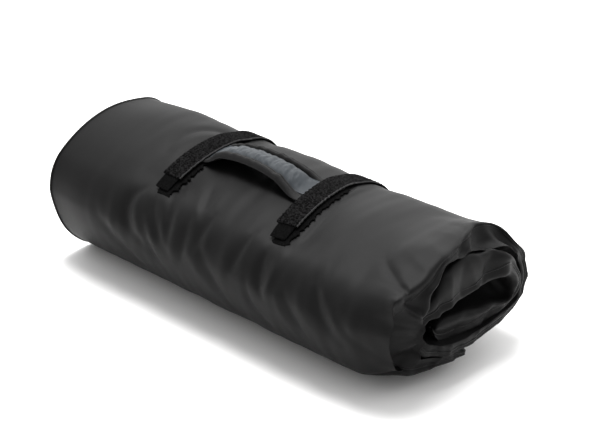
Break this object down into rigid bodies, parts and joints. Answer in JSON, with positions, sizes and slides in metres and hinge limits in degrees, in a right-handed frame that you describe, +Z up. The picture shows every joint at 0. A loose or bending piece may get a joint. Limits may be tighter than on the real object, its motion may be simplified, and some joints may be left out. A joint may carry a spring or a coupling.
{
  "type": "rolled exercise mat",
  "caption": "Soft padded exercise mat rolled into a flat oval, held by two peelable hook-and-loop straps sewn into its outer end, with a padded carry handle between them.",
  "frame": {"origin": "on the floor under the middle of the rolled mat's box", "axes": "+X along the roll, -Y towards the strap ends' side, +Z up"},
  "size_m": [0.506, 0.2236, 0.1605],
  "materials": {
    "cover_fabric": "matte coated polyester with a soft sheen",
    "wadding": "soft polyester wadding",
    "piping": "black piping",
    "hook_tape": "woven nylon hook tape",
    "loop_tape": "fuzzy nylon loop pile",
    "grip_fabric": "blue-grey quilted fabric",
    "binding": "black padded binding",
    "thread": "black thread"
  },
  "bodies": {
    "roll": {"mat_core": "wadding", "cover_outer_panel": "cover_fabric", "cover_inner_panel": "cover_fabric", "left_side_piping": "piping", "right_side_piping": "piping", "outer_end_piping": "piping", "inner_end_piping": "piping", "left_strap_hook_tape": "hook_tape", "left_strap_loop_tape": "loop_tape", "right_strap_hook_tape": "hook_tape", "right_strap_loop_tape": "loop_tape", "left_landing_tape": "loop_tape", "right_landing_tape": "loop_tape", "handle_left_end": "binding", "handle_right_end": "binding", "left_end_stitching": "thread", "right_end_stitching": "thread"},
    "left_tail": {"left_tail_hook_tape": "hook_tape", "left_tail_loop_tape": "loop_tape"},
    "right_tail": {"right_tail_hook_tape": "hook_tape", "right_tail_loop_tape": "loop_tape"},
    "left_tab": {"left_pull_tab": "hook_tape"},
    "right_tab": {"right_pull_tab": "hook_tape"},
    "grip": {"handle_under_panel": "binding", "handle_padding": "wadding", "handle_top_panel": "grip_fabric", "handle_front_binding": "binding", "handle_rear_binding": "binding"}
  },
  "joints": [
    {"name": "left_strap_peel", "type": "hinge", "parent": "roll", "child": "left_tail", "pos_m": [-0.088, 0.05, 0.15007], "axis": [-1, 0, 0], "range_deg": [0, 120]},
    {"name": "right_strap_peel", "type": "hinge", "parent": "roll", "child": "right_tail", "pos_m": [0.062, 0.05, 0.15007], "axis": [-0.9903, -0.1392, 0], "range_deg": [0, 120]},
    {"name": "left_tab_lift", "type": "hinge", "parent": "left_tail", "child": "left_tab", "pos_m": [-0.088, -0.0606, 0.13043], "axis": [-1, 0, 0], "range_deg": [0, 80]},
    {"name": "right_tab_lift", "type": "hinge", "parent": "right_tail", "child": "right_tab", "pos_m": [0.07739, -0.05952, 0.13089], "axis": [-0.9903, -0.1392, 0], "range_deg": [0, 80]},
    {"name": "handle_lean", "type": "hinge", "parent": "roll", "child": "grip", "pos_m": [-0.0115, 0.00225, 0.152], "axis": [1, 0, 0], "range_deg": [-6, 20], "stiffness_Nm_per_rad": 0.05}
  ]
}
